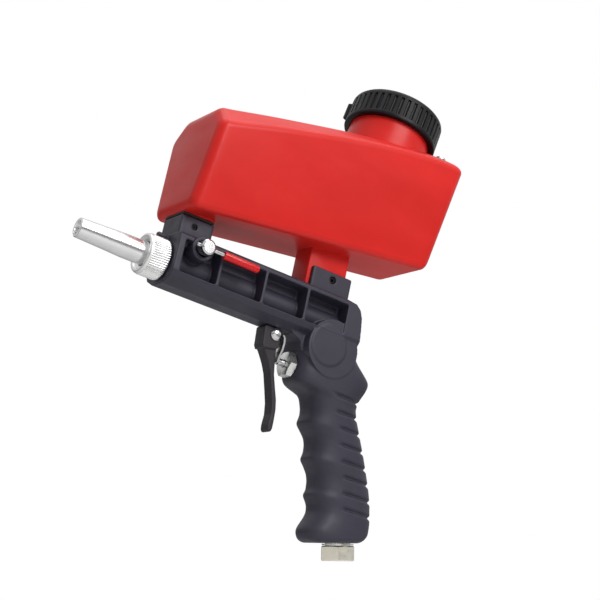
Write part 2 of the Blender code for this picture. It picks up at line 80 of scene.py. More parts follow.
WALL = 2.5

# ---------------------------------------------------------------- set-up
root = bpy.data.objects.new("gun_frame", None)
bpy.context.scene.collection.objects.link(root)
root.location = [-c * MM for c in GRIP_CENTRE]
root.empty_display_size = 0.02
AXES = {"frame": Vector((0, 0, 0))}
EMPTIES = {"frame": root}


def axis_empty(key, at):
    e = bpy.data.objects.new(key + "_axis", None)
    bpy.context.scene.collection.objects.link(e)
    e.parent = root
    e.location = Vector(at) * MM
    e.empty_display_size = 0.01
    EMPTIES[key] = e
    AXES[key] = Vector(at)


axis_empty("trigger", PIN)
axis_empty("sand_valve", SAND)
axis_empty("cap", CAP_BASE)
axis_empty("nozzle", (0, 0, 0))
axis_empty("valve", (0, 0, VALVE_Z))

CUT = bpy.data.collections.new("cutters")
bpy.context.scene.collection.children.link(CUT)


NODES = {}


def finish(ob, look, smooth=True):
    """Keeps the finished shape for the hand-over below."""
    NODES[ob.name.replace("fine.", "")] = ob
    return ob


def place(ob, parent="frame", at=(0, 0, 0), rot=None):
    ob.parent = EMPTIES[parent]
    ob.location = (Vector(at) - AXES[parent]) * MM
    if rot is not None:
        ob.rotation_mode = 'QUATERNION'
        ob.rotation_quaternion = rot
    return ob


def new_ob(name, me, parent="frame", at=(0, 0, 0), rot=None):
    ob = bpy.data.objects.new("fine." + name, me)
    CUT.objects.link(ob)
    ob.hide_render = True
    ob.display_type = 'WIRE'
    return place(ob, parent, at, rot)


def boolean(ob, tool, op='DIFFERENCE'):
    m = ob.modifiers.new(op[:4] + "_" + tool.name, 'BOOLEAN')
    m.object = tool
    m.operation = op
    m.solver = 'EXACT'
    return ob


def weld(ob):
    m = ob.modifiers.new("weld", 'WELD')
    m.merge_threshold = 0.00003
    return ob


def bevel(ob, width, seg=1, angle=35):
    m = ob.modifiers.new("edges", 'BEVEL')
    m.width = width * MM
    m.segments = seg * 3
    m.limit_method = 'ANGLE'
    m.angle_limit = math.radians(angle)
    return ob


# ---------------------------------------------------------------- shapes
def lathe(name, prof, at, axis, steps=24, parent="frame", closed=True, face=None):
    """prof: (s, r) along the axis. Solid profiles run from s_max at r=0. A hex turns one corner to face."""
    me = bpy.data.meshes.new(name)
    v = [(r * MM, 0, s * MM) for s, r in prof]
    e = [(i, i + 1) for i in range(len(v) - 1)]
    if closed:
        e.append((len(v) - 1, 0))
    me.from_pydata(v, e, [])
    rot = Vector(axis).to_track_quat('Z', 'Y')
    if face is not None:
        d = rot.inverted() @ Vector(face)
        rot = rot @ Quaternion((0, 0, 1), math.atan2(d.y, d.x))
    ob = new_ob(name, me, parent, at, rot)
    m = ob.modifiers.new("turn", 'SCREW')
    m.axis = 'Z'
    m.angle = 2 * math.pi
    m.steps = steps if steps <= 6 else steps * FINE
    m.render_steps = m.steps
    m.screw_offset = 0
    m.use_merge_vertices = True
    m.merge_threshold = 0.00001
    m.use_smooth_shade = True
    return ob


def rod(name, at, axis, s0, s1, r, steps=24, parent="frame"):
    return lathe(name, [(s1, 0), (s1, r), (s0, r), (s0, 0)], at, axis, steps, parent, False)


def tube(name, at, axis, s0, s1, r_out, r_in, steps=24, parent="frame"):
    return lathe(name, [(s1, r_out), (s0, r_out), (s0, r_in), (s1, r_in)], at, axis, steps, parent)


def ring(name, at, axis, s, r_mid, r_wire, steps=24, parent="frame", n=8):
    prof = [(s - r_wire * math.sin(2 * math.pi * i / n),
             r_mid + r_wire * math.cos(2 * math.pi * i / n)) for i in range(n)]
    return lathe(name, prof, at, axis, steps, parent)


PLANES = {
    "XZ": Matrix(((1, 0, 0, 0), (0, 0, -1, 0), (0, 1, 0, 0), (0, 0, 0, 1))),
    "YZ": Matrix(((0, 0, 1, 0), (1, 0, 0, 0), (0, 1, 0, 0), (0, 0, 0, 1))),
    "XY": Matrix.Identity(4),
}


def curve_to_mesh(name, cu):
    tmp = bpy.data.objects.new(name + "_curve", cu)
    bpy.context.scene.collection.objects.link(tmp)
    bpy.context.view_layer.update()
    dg = bpy.context.evaluated_depsgraph_get()
    me = bpy.data.meshes.new_from_object(tmp.evaluated_get(dg))
    bpy.data.objects.remove(tmp, do_unlink=True)
    bm = bmesh.new()
    bm.from_mesh(me)
    bmesh.ops.remove_doubles(bm, verts=bm.verts, dist=1e-6)
    bmesh.ops.recalc_face_normals(bm, faces=bm.faces)
    bm.to_mesh(me)
    bm.free()
    me.name = name
    return me


def prism(name, pts, plane, lo, hi, parent="frame", holes=()):
    """Filled outline extruded from lo to hi along the plane's normal."""
    cu = bpy.data.curves.new(name, 'CURVE')
    cu.dimensions = '2D'
    cu.fill_mode = 'BOTH'
    cu.extrude = (hi - lo) / 2 * MM
    for loop in [pts, *holes]:
        sp = cu.splines.new('POLY')
        sp.points.add(len(loop) - 1)
        for p, (a, b) in zip(sp.points, loop):
            p.co = (a * MM, b * MM, 0, 1)
        sp.use_cyclic_u = True
    me = curve_to_mesh(name, cu)
    sign = -1 if plane == "XZ" else 1
    me.transform(Matrix.Translation((0, 0, sign * (hi + lo) / 2 * MM)))
    me.transform(PLANES[plane])
    me.transform(Matrix.Translation(-AXES[parent] * MM))
    return new_ob(name, me, parent, AXES[parent])


def block(name, x, y, z, parent="frame"):
    return prism(name, [(x[0], z[0]), (x[1], z[0]), (x[1], z[1]), (x[0], z[1])],
                 "XZ", y[0], y[1], parent)


def loft(name, rings):
    """Hand-built skin between unlike sections."""
    n = len(rings[0])
    v = [Vector(p) * MM for r in rings for p in r]
    f = [[(k + 1) * n + i, (k + 1) * n + (i + 1) % n, k * n + (i + 1) % n, k * n + i]
         for k in range(len(rings) - 1) for i in range(n)]
    f.append(list(range(n)))
    f.append([(len(rings) - 1) * n + i for i in reversed(range(n))])
    me = bpy.data.meshes.new(name)
    me.from_pydata(v, [], f)
    bm = bmesh.new()
    bm.from_mesh(me)
    bmesh.ops.recalc_face_normals(bm, faces=bm.faces)
    bm.to_mesh(me)
    bm.free()
    return new_ob(name, me)


def smooth_loop(pts, n=3, keep=()):
    """Chaikin corner cutting of a closed outline."""
    for _ in range(n):
        out = []
        for k, p in enumerate(pts):
            q = pts[(k + 1) % len(pts)]
            out.append((0.75 * p[0] + 0.25 * q[0], 0.75 * p[1] + 0.25 * q[1]))
            out.append((0.25 * p[0] + 0.75 * q[0], 0.25 * p[1] + 0.75 * q[1]))
        pts = out
    return pts


def arc(cx, cz, r, a0, a1, n):
    return [(cx + r * math.cos(math.radians(a0 + (a1 - a0) * i / n)),
             cz + r * math.sin(math.radians(a0 + (a1 - a0) * i / n))) for i in range(n + 1)]


# ================================================================ gun body
# grip: front edge, rear edge and half-width against height
FRONT = [(-8, -3), (-38, -3), (-41.5, -5), (-43.5, -15), (-47, -17.2), (-52, -19),
         (-56, -19.3), (-59.5, -18.4), (-61.5, -17.9), (-63.5, -20.2), (-68, -24.9),
         (-72, -26.4), (-76.5, -26.7), (-79.5, -26), (-81.2, -25.3), (-83.5, -28),
         (-88, -31.8), (-92, -33.3), (-97.4, -33.8), (-99.5, -33), (-101, -32.3),
         (-103, -34.4), (-106, -36.5), (-110, -37.2), (-113, -36.0), (-116, -33.8),
         (-118, -32.5), (-120, -32.9), (-122, -34.8), (-126, -39)]
REAR = [(-8, -36.5), (-15, -39.5), (-20, -44), (-24, -49.5), (-28, -54.6), (-31, -54.4),
        (-36, -52.6), (-41, -50.6), (-46, -50.3), (-52, -52.6), (-60, -57.2), (-70, -62),
        (-80, -67), (-90, -71), (-98, -73.8), (-108, -75.8), (-115, -76.2), (-119, -76.2),
        (-122, -75), (-126, -71)]
HALF = [(-8, 15.2), (-28, 15.0), (-44, 14.4), (-60, 13.8), (-80, 13.6), (-105, 14.2),
        (-120, 14.6), (-126, 14.6)]
GROOVES = [(-42, -29.5), (-51.3, -32.4), (-60, -36.9), (-69.3, -39.5), (-78.5, -43),
           (-87.2, -46.3), (-96.5, -48.1), (-105.4, -49.9)]
GROOVE_DEPTH = 1.1
RING_N = 20


RING_N = 72
ZS = np.arange(-130.0, -4.0, 0.25)


def smooth_table(tab, sigma):
    t = sorted(tab)
    y = np.interp(ZS, [a for a, _ in t], [b for _, b in t])
    k = np.exp(-0.5 * (np.arange(-24, 25) * 0.25 / sigma) ** 2)
    return np.convolve(np.pad(y, 24, mode='edge'), k / k.sum(), mode='valid')


FRONT_S, REAR_S, HALF_S = smooth_table(FRONT, 0.9), smooth_table(REAR, 1.3), smooth_table(HALF, 3.0)


def grip_ring(z, inset=0.0):
    f, r, w = (float(np.interp(z, ZS, t)) for t in (FRONT_S, REAR_S, HALF_S))
    xc, a = (f + r) / 2, (f - r) / 2 - inset
    b = w - inset
    n = max(2.7, min(4.0, 4.0 - (-34 - z) / 9))
    tilt = -0.231 * min(1.0, max(0.0, (-110 - z) / 12))
    pts = []
    for i in range(RING_N):
        t = 2 * math.pi * (i + 0.5) / RING_N
        c, s = math.cos(t), math.sin(t)
        x = xc + a * math.copysign(abs(c) ** (2 / n), c)
        y = b * math.copysign(abs(s) ** (2 / n), s)
        depth = 0.0
        for zg, xs in GROOVES:
            d = abs(z - zg)
            if d < 1.5:
                k = min(1.0, max(0.0, (xs + 1.0 - x) / 3.0))
                depth = 1.5 * k * k * (3 - 2 * k) * (0.5 + 0.5 * math.cos(math.pi * d / 1.5)) ** 0.7
        nx, ny = c * b, s * a
        dd = math.hypot(nx, ny)
        pts.append((x - depth * nx / dd, y - depth * ny / dd, z + tilt * (x + 54.0)))
    return pts


rings = [grip_ring(z) for z in np.arange(-8.0, -122.8, -0.55)]
rings += [grip_ring(-122.9, 0.15), grip_ring(-123.6, 0.5), grip_ring(-124.2, 1.1), grip_ring(-124.6, 2.2)]
grip = loft("grip_form", rings)

section = [(16.0, 14.0), (14.5, 15.5), (-14.5, 15.5), (-16.0, 14.0), (-16.0, -7.0),
           (-13.5, -10.6), (-6.0, -14.0), (6.0, -14.0), (13.5, -10.6), (16.0, -7.0)]
body = prism("gun_body", section, "YZ", -38.5, BODY_FRONT)
side = prism("rail_side", [(94.5, -15), (94.5, 17), (-25, 17), (-25, 15.5), (-30, 14.4),
                           (-33.6, 11.5), (-35.6, 7), (-36.6, 0), (-37.4, -8), (-37.6, -15)],
             "XZ", -20, 20)
boolean(body, side, 'INTERSECT')

POCKETS = [(65.6, 89.5), (35.2, 63.8), (5.4, 33.4), (-24.6, 3.6)]
for k, (x0, x1) in enumerate(POCKETS):
    for s, tag in ((1, "l"), (-1, "r")):
        y = (5.0, 17.5) if s > 0 else (-17.5, -5.0)
        boolean(body, bevel(block(f"pocket_{tag}{k}", (x0, x1), y, (-7.0, 12.0)), 1.0, 1))

boolean(body, rod("tube_form", (0, 0, 0), (1, 0, 0), -36.0, BODY_FRONT - 0.6, TUBE_R, 24), 'UNION')
boolean(body, grip, 'UNION')
for s, tag in ((1, "l"), (-1, "r")):
    boolean(body, rod(f"boss_{tag}", (-20.4, 0, -16.8), (0, s, 0), 4.0, 15.15, 17.5, 36), 'UNION')
    boolean(body, lathe(f"disc_{tag}", [(15.8, 0), (15.8, 12.0), (15.3, 12.6), (4.4, 12.6), (4.4, 0)],
                        (-16.7, 0, -15.9), (0, s, 0), 32, "frame", False), 'UNION')
lug = [(10.0, -11.0), (18.0, -11.0)] + arc(PIN[0], PIN[2], 4.0, 0, -180, 10)
boolean(body, prism("trigger_lug", lug, "XZ", -2.5, 2.5), 'UNION')
boolean(body, prism("gusset", [(8.5, -11.5), (5.0, -15.0), (-0.5, -17.0), (-2.0, -22.5), (-6.0, -22.5), (-6.0, -11.5)],
                    "XZ", -9.0, 9.0), 'UNION')
boolean(body, bevel(block("neck_block", (72.0, BODY_FRONT - 0.3), (-11, 11), (9.0, 27.3)), 1.0, 1), 'UNION')
boolean(body, bevel(block("rear_bracket", (-26.3, 2.2), (-11.4, 11.4), (14.2, 29.0)), 1.0, 1), 'UNION')
boolean(body, rod("spindle_boss_l", SAND, (0, 1, 0), 3.0, 17.6, 7.0, 28), 'UNION')
boolean(body, rod("spindle_boss_r", SAND, (0, -1, 0), 3.2, 16.4, 7.0, 28), 'UNION')
boolean(body, rod("spigot", (0, 0, 0), (1, 0, 0), 88.0, 101.0, 9.3, 32), 'UNION')
boolean(body, block("fin", (91.0, 100.5), (-1.6, 1.6), (12.9, 15.1)), 'UNION')

# bores and sockets
boolean(body, lathe("barrel_bore", [(103.0, 0), (103.0, 5.6), (58.0, 5.6), (58.0, 3.0), (-14.0, 3.0), (-14.0, 0)],
                    (0, 0, 0), (1, 0, 0), 20, "frame", False))
boolean(body, rod("riser", (-10.5, 0, 0), (0, 0, 1), -31.5, 0.5, 2.5, 12))
boolean(body, rod("valve_bore", (0, 0, VALVE_Z), (1, 0, 0), -42.0, 0.0, 6.0, 24))
boolean(body, lathe("inlet_bore", [(6.0, 0), (6.0, 7.8), (-16.4, 7.8), (-16.4, 3.0), (-94.0, 3.0), (-94.0, 0)],
                    INLET, RAKE, 20, "frame", False))
boolean(body, rod("spindle_bore", SAND, (0, 1, 0), -20.0, 22.0, 4.7, 24))
boolean(body, rod("sand_duct", (DUCT_X, 0, 0), (0, 0, 1), 1.0, 20.0, 3.0, 16))
boolean(body, block("hopper_socket", (74.0, 91.7), (-9.0, 9.0), (16.6, 30.0)))
boolean(body, block("bracket_slot", (-30.0, 6.0), (-9.0, 9.0), (16.5, 32.0)))
boolean(body, rod("pin_hole", PIN, (0, 1, 0), -8, 8, 1.9, 16))
boolean(body, rod("front_screw_hole", FRONT_SCREW, (0, 1, 0), -14, 14, 1.75, 16))
boolean(body, rod("rear_screw_hole", REAR_SCREW, (0, 1, 0), -14, 14, 2.25, 16))
weld(body)
finish(body, "body")

# ================================================================ nozzle end
jet = lathe("air_jet", [(76.0, 1.6), (75.4, 2.2), (70.4, 2.6), (69.6, 5.3), (66.2, 5.3), (66.2, 3.9),
                        (64.4, 3.9), (64.4, 5.3), (58.4, 5.3), (58.4, 2.4), (68.0, 2.4), (70.0, 1.0), (76.0, 1.0)],
            (0, 0, 0), (1, 0, 0), 20)
finish(jet, "brass")
finish(ring("jet_oring", (0, 0, 0), (1, 0, 0), 65.3, 4.75, 0.7, 24), "rubber")
finish(tube("nozzle_seal", (0, 0, 0), (1, 0, 0), 101.3, 102.3, 9.0, 5.6, 28), "rubber")
nozzle = lathe("nozzle", [(147.5, 5.2), (147.1, 5.7), (130.0, 6.35), (118.0, 6.9), (103.7, 6.9), (103.7, 9.1),
                          (102.6, 9.1), (102.6, 5.0), (108.0, 3.9), (147.3, 3.9), (147.5, 4.0)],
               (0, 0, 0), (1, 0, 0), 28, "nozzle")
finish(nozzle, "steel")
KNURLS, KP = 56, 10
nut_prof = [(94.0, 9.65, 0), (94.0, 11.3, 0), (94.35, 11.8, 0), (95.0, 12.05, 0.0), (95.5, 12.28, 0.6), (105.2, 12.2, 0.6),
            (105.7, 12.0, 0.0), (106.4, 11.9, 0), (107.1, 11.55, 0), (107.4, 11.1, 0), (107.4, 9.9, 0), (107.1, 9.5, 0), (106.2, 9.2, 0),
            (105.7, 8.4, 0), (105.6, 7.5, 0), (105.4, 7.3, 0), (104.0, 7.3, 0), (104.0, 9.65, 0)]
me = bpy.data.meshes.new("nozzle_nut")
n = KNURLS * KP
vv = []
for s, r, g in nut_prof:
    for i in range(n):
        t = 2 * math.pi * i / n
        q = r - g * (0.5 - 0.5 * math.cos(2 * math.pi * i / KP)) ** 0.8
        vv.append((s * MM, q * math.cos(t) * MM, q * math.sin(t) * MM))
ff = [[k * n + i, k * n + (i + 1) % n, ((k + 1) % len(nut_prof)) * n + (i + 1) % n, ((k + 1) % len(nut_prof)) * n + i]
      for k in range(len(nut_prof)) for i in range(n)]
me.from_pydata(vv, [], ff)
bmc = bmesh.new()
bmc.from_mesh(me)
bmesh.ops.recalc_face_normals(bmc, faces=bmc.faces)
bmc.to_mesh(me)
bmc.free()
nut = new_ob("nozzle_nut", me, "nozzle", (0, 0, 0))
finish(nut, "alu")

# ================================================================ sand valve
spindle = lathe("sand_spindle", [(24.4, 0), (24.4, 3.4), (23.6, 4.4), (12.4, 4.4), (12.4, 3.3), (10.8, 3.3),
                                 (10.8, 4.4), (-16.7, 4.4), (-16.7, 3.2), (-17.7, 3.2), (-17.7, 4.2),
                                 (-18.6, 4.0), (-18.6, 0)], SAND, (0, 1, 0), 24, "sand_valve", False)
boolean(spindle, rod("spindle_port", (SAND[0], 0, SAND[2]), (0, 0, 1), -8, 8, 2.5, 16, "sand_valve"))
boolean(spindle, rod("lever_hole", (SAND[0], 21.0, SAND[2]), (1, 0, 0), -8, 8, 1.4, 12, "sand_valve"))
finish(spindle, "steel")
finish(ring("spindle_oring", SAND, (0, 1, 0), 11.6, 3.95, 0.62, 20, "sand_valve"), "rubber")
finish(tube("spindle_clip", SAND, (0, 1, 0), -17.5, -16.9, 6.2, 3.4, 20, "sand_valve"), "steel")
LEVER_DIR = Vector((-1, 0, -0.02)).normalized()
LEVER_AT = (SAND[0], 21.0, SAND[2])
finish(lathe("sand_lever_rod", [(33.0, 0), (33.0, 0.8), (32.6, 1.15), (-6.0, 1.15), (-6.4, 0.7), (-6.4, 0)],
             LEVER_AT, LEVER_DIR, 12, "sand_valve", False), "steel")
finish(lathe("sand_lever_sleeve", [(35.4, 0), (35.2, 1.5), (34.4, 2.2), (12.4, 2.4), (11.6, 2.1), (11.6, 1.4),
                                   (33.6, 1.4), (33.6, 0)], LEVER_AT, LEVER_DIR, 16, "sand_valve", False), "vinyl")

# ================================================================ hopper
# x, floor height, ridge height at the widest line, roof height, roof half-width
STATIONS = [(93.0, 28.3, 80.0, 93.0, 18.5), (50.0, 33.9, 93.0, 103.2, 19.0), (8.0, 39.4, 105.0, 112.8, 20.0),
            (-30.0, 44.3, 113.5, 119.4, 22.5), (-58.0, 47.9, 118.4, 122.8, 25.0), (-75.0, 50.2, 119.0, 123.0, 25.0)]
FLOOR_W, RIDGE_W = 23.5, 31.5


SX = np.arange(-84.0, 98.5, 0.5)


def station_table(col, sigma):
    t = sorted(STATIONS)
    y = np.interp(SX, [s[0] for s in t], [s[col] for s in t])
    lo, hi = 2 * y[0] - y[1:61][::-1], 2 * y[-1] - y[-61:-1][::-1]
    k = np.exp(-0.5 * (np.arange(-60, 61) * 0.5 / sigma) ** 2)
    return np.convolve(np.concatenate([lo, y, hi]), k / k.sum(), mode='valid')


S_FLOOR, S_RIDGE, S_ROOF, S_ROOFW = (station_table(c, 8.0) for c in (1, 2, 3, 4))


def rounded(poly, radii, n):
    out = []
    for k, p in enumerate(poly):
        p, a, b = Vector(p), Vector(poly[k - 1]), Vector(poly[(k + 1) % len(poly)])
        u, v = (a - p).normalized(), (b - p).normalized()
        half = math.acos(max(-1, min(1, u.dot(v)))) / 2
        cut = min(radii[k] / math.tan(half), 0.46 * (a - p).length, 0.46 * (b - p).length)
        r = cut * math.tan(half)
        c = p + (u + v).normalized() * (r / math.sin(half))
        s, e = p + u * cut - c, p + v * cut - c
        a0, a1 = math.atan2(s.y, s.x), math.atan2(e.y, e.x)
        d = (a1 - a0 + math.pi) % (2 * math.pi) - math.pi
        out += [(c.x + r * math.cos(a0 + d * t / n), c.y + r * math.sin(a0 + d * t / n)) for t in range(n + 1)]
    return out


def hopper_section(x, i, n, k=1.0):
    f = lambda t: float(np.interp(x, SX, t))
    zb, zr, zt, rw = f(S_FLOOR), f(S_RIDGE), f(S_ROOF), f(S_ROOFW)
    w = RIDGE_W - 1.0 * min(1.0, max(0.0, (x - 50) / 43.0))
    poly = [(FLOOR_W - i, zb + i), (w - i, zr - 0.15 * i), (rw - 0.6 * i, zt - i),
            (-rw + 0.6 * i, zt - i), (-w + i, zr - 0.15 * i), (-FLOOR_W + i, zb + i)]
    pts = rounded(poly, [4.0 * k, 6.5 * k, 7.0 * k, 7.0 * k, 6.5 * k, 4.0 * k], n)
    front = max(0.0, min(1.0, (x - 50) / 45.0)) ** 2
    rear = max(0.0, min(1.0, (-30 - x) / 40.0)) ** 2
    return [(x + front * -3.5 * (z - 30.0) / 55.0 - rear * 9.5 * (z - 51.0) / 75.0, y, z) for y, z in pts]


def end_rounded(inset, n, end_r, steps, pitch):
    x1, x0 = 95.5 - inset, -72.0 + inset
    fr, re = [], []
    for q in range(steps + 1):
        a = math.pi / 2 * q / steps
        fr.append(hopper_section(x1 - end_r * (1 - math.cos(a)), inset + end_r * (1 - math.sin(a)), n))
        re.append(hopper_section(x0 + end_r * (1 - math.cos(a)), inset + end_r * (1 - math.sin(a)), n))
    mid = [hopper_section(float(x), inset, n) for x in np.arange(x1 - end_r - pitch, x0 + end_r + 0.5, -pitch)]
    return fr + mid + re[::-1]


hopper = loft("hopper", end_rounded(0.0, 10, 6.0, 8, 3.0))
boolean(hopper, rod("neck_form", CAP_BASE, CAP_AXIS, -21.0, 13.0, NECK_R, 36), 'UNION')
boolean(hopper, bevel(block("outlet_flange", (72.3, 93.2), (-11, 11), (28.9, 37.0)), 0.6), 'UNION')
boolean(hopper, block("outlet_spigot", (74.3, 91.4), (-8.7, 8.7), (17.0, 34.5)), 'UNION')
boolean(hopper, bevel(block("rear_foot", (-23.2, 4.5), (-8.6, 8.6), (17.0, 48.0)), 0.8), 'UNION')
cavity = loft("hopper_cavity", end_rounded(WALL, 4, 5.0, 3, 9.0))
boolean(hopper, cavity)
boolean(hopper, rod("mouth_bore", CAP_BASE, CAP_AXIS, -30.0, 16.0, MOUTH_R, 36))
boolean(hopper, rod("outlet_bore", (DUCT_X, 0, 0), (0, 0, 1), 15.0, 44.0, 3.0, 16))
boolean(hopper, rod("spigot_screw_hole", FRONT_SCREW, (0, 1, 0), -12, 12, 1.75, 16))
boolean(hopper, rod("foot_screw_hole", REAR_SCREW, (0, 1, 0), -12, 12, 2.25, 16))
BUTTON = (-67.0, 20.5, 122.9)
boolean(hopper, rod("button_hole", BUTTON, (0, 0, 1), -6.0, 4.0, 1.6, 12))
finish(hopper, "red")

gk = prism("outlet_gasket", [(72.6, -10.7), (92.9, -10.7), (92.9, 10.7), (72.6, 10.7)], "XY", 27.6, 28.6, "frame",
           holes=[[(73.9, -9.1), (91.8, -9.1), (91.8, 9.1), (73.9, 9.1)]])
finish(gk, "rubber", False)


def set_screw(name, at, r, half):
    ob = lathe(name, [(half, 0), (half, r - 0.3), (half - 0.4, r), (0.4 - half, r), (-half, r - 0.3), (-half, 0)],
               at, (0, 1, 0), 16, "frame", False)
    boolean(ob, lathe(name + "_socket", [(half + 1, 0), (half + 1, r * 0.55), (half - 1.6, r * 0.55), (half - 1.6, 0)],
                      at, (0, 1, 0), 6, "frame", False))
    return ob


finish(set_screw("hopper_front_screw", FRONT_SCREW, 1.5, 10.2), "steel")
finish(set_screw("hopper_rear_screw", REAR_SCREW, 2.0, 10.4), "steel")

# ================================================================ cap
RIBS, PER = 42, 12


def cap_ring(s, r, groove=0.0):
    """One ring of the cap's skin; grooves are cut between flat ribs."""
    out = []
    for i in range(RIBS * PER):
        t = 2 * math.pi * i / (RIBS * PER)
        ph = (i % PER) / PER
        g = 0.0
        if groove:
            d = abs(ph - 0.5)
            g = groove * min(1.0, max(0.0, (0.24 - d) / 0.09))
        out.append(((r - g) * math.cos(t), (r - g) * math.sin(t), s))
    return out


skin = [(0.0, 26.5, 0), (0.0, 29.2, 0), (0.25, 29.7, 0), (0.9, 30.0, 0), (2.3, 30.0, 0), (2.6, 29.95, 0), (3.0, 29.9, 1.15),
        (14.6, 29.8, 1.15), (15.0, 29.75, 0), (15.4, 29.75, 0), (16.7, 29.7, 0), (17.6, 29.35, 0), (18.25, 28.7, 0),
        (18.6, 27.7, 0), (18.6, 25.6, 0), (18.0, 25.0, 0), (17.8, 24.4, 0), (17.8, 2.0, 0)]
inner = [(15.3, 2.0, 0), (15.3, 26.3, 0), (15.1, 26.5, 0)]
cap = loft("cap", [cap_ring(*q) for q in skin])
cap.data.transform(Matrix.Identity(4))
me = bpy.data.meshes.new("cap")
n = RIBS * PER
ringset = [cap_ring(*q) for q in skin + inner]
vv = [Vector(p) * MM for r in ringset for p in r]
ff = []
for k in range(len(ringset)):
    k2 = (k + 1) % len(ringset)
    if k == len(skin) - 1:
        continue
    for i in range(n):
        ff.append([k * n + i, k * n + (i + 1) % n, k2 * n + (i + 1) % n, k2 * n + i])
ff.append([(len(skin) - 1) * n + i for i in range(n)])
ff.append([len(skin) * n + i for i in reversed(range(n))])
me.from_pydata(vv, [], ff)
bmc = bmesh.new()
bmc.from_mesh(me)
bmesh.ops.recalc_face_normals(bmc, faces=bmc.faces)
bmc.to_mesh(me)
bmc.free()
bpy.data.objects.remove(cap, do_unlink=True)
cap = new_ob("cap", me, "cap", CAP_BASE, CAP_AXIS.to_track_quat('Z', 'Y'))
lug_at = CAP_BASE + Vector((CAP_AXIS.z * 0.857, -0.515, -CAP_AXIS.x * 0.857)) * 29.8
boolean(cap, rod("cap_lug", lug_at, CAP_AXIS, 4.0, 14.0, 2.3, 12, "cap"), 'UNION')
finish(cap, "black")
finish(tube("cap_gasket", CAP_BASE, CAP_AXIS, 13.3, 15.0, 25.8, 20.0, 32, "cap"), "rubber")
finish(lathe("tether_button", [(2.6, 0), (2.5, 1.6), (1.9, 3.0), (1.0, 3.5), (0.4, 3.5), (0.4, 1.35), (-4.0, 1.35), (-4.6, 0.8), (-4.6, 0)],
             BUTTON, (0, 0, 1), 16, "frame", False), "alu")

# ================================================================ trigger
head = prism("trigger", [(10.3, -17.2), (11.6, -15.1), (14.5, -14.5), (21.4, -14.5), (22.2, -15.4), (21.4, -26.0),
                         (20.2, -28.0), (11.6, -26.5), (10.3, -24.5)], "XZ", -5.0, 5.0, "trigger")
boolean(head, block("fork_slot", (5.0, 19.6), (-2.8, 2.8), (-24.2, -10.0), "trigger"))
lever = prism("trigger_lever", [(21.2, -24.0), (20.6, -26.6), (17.4, -31.0), (14.4, -35.6), (12.0, -40.4), (8.8, -50.2),
                                (6.7, -57.0), (5.7, -63.7), (6.1, -69.9), (5.8, -72.7), (4.6, -74.1), (3.1, -73.6),
                                (2.5, -71.5), (2.5, -66.5), (2.8, -60.5), (3.9, -54.8), (6.3, -48.0), (8.7, -41.0),
                                (9.9, -34.0), (10.7, -28.0), (11.0, -24.4)],
              "XZ", -4.1, 4.1, "trigger")
bevel(lever, 0.9, 1, 50)
boolean(head, lever, 'UNION')
boolean(head, rod("trigger_pin_hole", PIN, (0, 1, 0), -8, 8, 1.9, 16, "trigger"))
finish(head, "body", False)
PLATE = [(8.6, -16.6), (7.4, -18.2), (7.0, -21.0), (7.3, -25.0), (8.3, -29.5), (8.9, -33.5)]
plate_out = [(x + 0.6, z) for x, z in PLATE] + [(x - 0.6, z) for x, z in reversed(PLATE)]
finish(prism("trigger_push_plate", plate_out, "XZ", -4.6, 4.6, "trigger"), "steel", False)
finish(lathe("trigger_pin", [(7.8, 0), (7.65, 1.6), (7.0, 3.0), (5.8, 3.9), (5.3, 3.9), (5.3, 1.7), (-6.3, 1.7),
                             (-6.3, 1.2), (-7.1, 1.2), (-7.1, 1.7), (-7.6, 1.4), (-7.6, 0)],
             PIN, (0, 1, 0), 20, "frame", False), "steel")
finish(tube("trigger_pin_clip", PIN, (0, 1, 0), -7.0, -6.4, 3.6, 1.45, 16), "steel")

# ================================================================ air valve
V = (0, 0, VALVE_Z)
finish(lathe("valve_stem", [(7.3, 0), (7.2, 1.4), (6.6, 2.2), (-16.6, 2.2), (-16.6, 1.2), (-21.6, 1.2), (-21.6, 0)],
             V, (1, 0, 0), 16, "valve", False), "steel")
finish(tube("valve_poppet", V, (1, 0, 0), -20.4, -17.4, 4.8, 1.35, 20, "valve"), "rubber")
finish(tube("valve_seat", V, (1, 0, 0), -17.1, -14.1, 5.7, 3.4, 20), "brass")
gland = lathe("gland_nut", [(2.0, 0), (2.0, 8.08), (-2.6, 8.08), (-2.6, 0)], V, (1, 0, 0), 6, "frame", False)
boolean(gland, rod("gland_barrel", V, (1, 0, 0), -8.0, 0.0, 5.7, 20), 'UNION')
boolean(gland, lathe("gland_bore", [(4.0, 0), (4.0, 2.5), (-4.4, 2.5), (-4.4, 4.3), (-10.0, 4.3), (-10.0, 0)],
                     V, (1, 0, 0), 16, "frame", False))
weld(gland)
chamfer = lathe("gland_chamfer", [(2.0, 0), (2.0, 7.0), (1.2, 8.4), (-1.8, 8.4), (-2.6, 7.2), (-8.0, 7.2), (-8.0, 0)],
                V, (1, 0, 0), 24, "frame", False)
boolean(gland, chamfer, 'INTERSECT')
finish(gland, "alu", False)
finish(tube("gland_packing", V, (1, 0, 0), -7.7, -4.7, 4.1, 2.45, 16), "rubber")

cu = bpy.data.curves.new("valve_spring", 'CURVE')
cu.dimensions = '3D'
cu.bevel_depth = 0.45 * MM
cu.bevel_resolution = 3
cu.use_fill_caps = True
N, TURNS = 240, 5.0
sp = cu.splines.new('POLY')
sp.points.add(N)
for i, p in enumerate(sp.points):
    t = i / N
    a = 2 * math.pi * TURNS * t
    p.co = ((-21.2 - t * 19.6) * MM, 3.4 * MM * math.cos(a), 3.4 * MM * math.sin(a), 1)
finish(new_ob("valve_spring", curve_to_mesh("valve_spring", cu), "valve", V), "steel")

